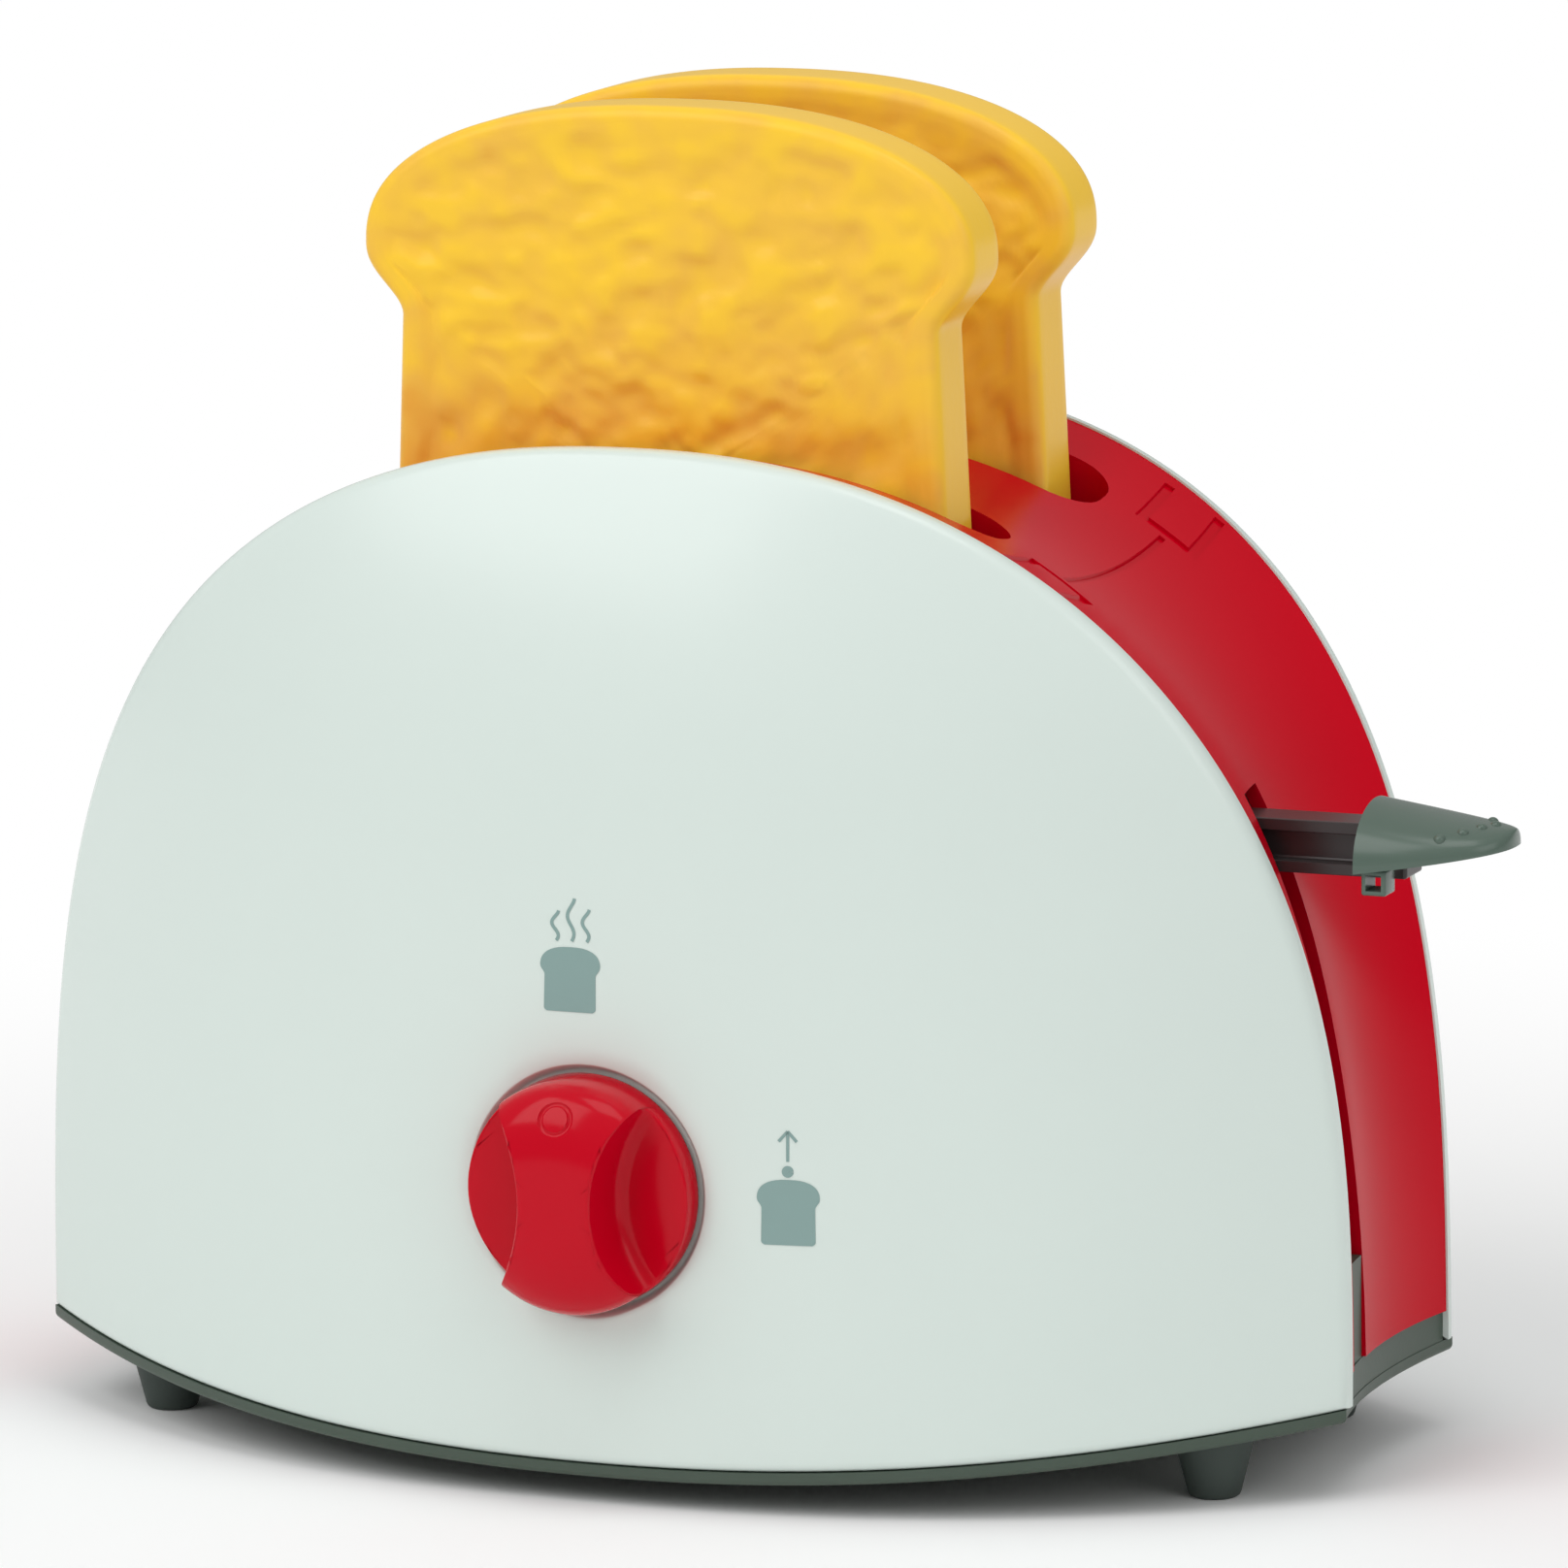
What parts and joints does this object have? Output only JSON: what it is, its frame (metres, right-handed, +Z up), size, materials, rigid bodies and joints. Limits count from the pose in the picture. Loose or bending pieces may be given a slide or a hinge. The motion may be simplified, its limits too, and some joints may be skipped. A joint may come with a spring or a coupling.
{
  "type": "toy toaster",
  "caption": "Toy toaster with bowed side shells around a slotted band, lift-out toast slices, a sprung side lever on a carriage, and a turning front knob that works the carriage latch.",
  "frame": {"origin": "middle of the whole outline, on the ground under the feet", "axes": "+X to the lever's end, along the body's length; +Y from the knob's side to the plain back; +Z up"},
  "size_m": [0.235, 0.1381, 0.2048],
  "materials": {
    "shell_white": "glossy white moulding",
    "band_red": "glossy dark red moulding",
    "knob_red": "glossy bright red moulding",
    "base_grey": "satin grey moulding",
    "foot_grey": "soft matt dark grey",
    "lever_grey": "smooth grey moulding",
    "arm_dark": "satin dark grey moulding",
    "toast_yellow": "smooth yellow moulding with a browned, mottled face",
    "inner_natural": "plain natural moulding",
    "latch_grey": "plain grey moulding",
    "steel": "plain bright steel"
  },
  "bodies": {
    "root": {"back_shell": "shell_white", "base_screw_left1": "steel", "base_screw_left2": "steel", "base_screw_right1": "steel", "base_screw_right2": "steel", "base_tray": "base_grey", "body_band": "band_red", "foot_left_back": "foot_grey", "foot_left_front": "foot_grey", "foot_right_back": "foot_grey", "foot_right_front": "foot_grey", "front_shell": "shell_white", "guide_rod": "steel", "latch_pin": "steel", "latch_spring": "steel", "lift_spring": "steel", "mechanism_plate": "inner_natural", "plate_screw1": "steel", "plate_screw2": "steel"},
    "carriage": {"carriage": "inner_natural", "catch_pin": "steel", "lever_arm": "arm_dark", "lever_handle": "lever_grey", "lever_screw": "steel"},
    "toast_front": {"toast_front": "toast_yellow"},
    "toast_back": {"toast_back": "toast_yellow"},
    "knob": {"knob": "knob_red", "knob_spindle": "steel", "spindle_clip": "steel"},
    "latch": {"latch": "latch_grey"}
  },
  "joints": [
    {"name": "lever_slide", "type": "slide", "parent": "root", "child": "carriage", "axis": [0, 0, 1], "range_m": [-0.055, 0], "stiffness_N_per_m": 80, "springref_m": 0.05, "deforming": ["lift_spring"]},
    {"name": "toast_front_lift", "type": "slide", "parent": "carriage", "child": "toast_front", "axis": [0, 0, 1], "range_m": [0, 0.065]},
    {"name": "toast_back_lift", "type": "slide", "parent": "carriage", "child": "toast_back", "axis": [0, 0, 1], "range_m": [0, 0.065]},
    {"name": "knob_turn", "type": "hinge", "parent": "root", "child": "knob", "pos_m": [-0.0115, -0.061, 0.0478], "axis": [0, 1, 0], "range_deg": [0, 90]},
    {"name": "latch_turn", "type": "hinge", "parent": "root", "child": "latch", "pos_m": [0.0185, -0.0259, 0.0383], "axis": [0, 1, 0], "range_deg": [-11.5, 0], "deforming": ["latch_spring"]}
  ],
  "couplings": [
    {"joint": "latch_turn", "follows": "knob_turn", "ratio": -0.12222}
  ]
}
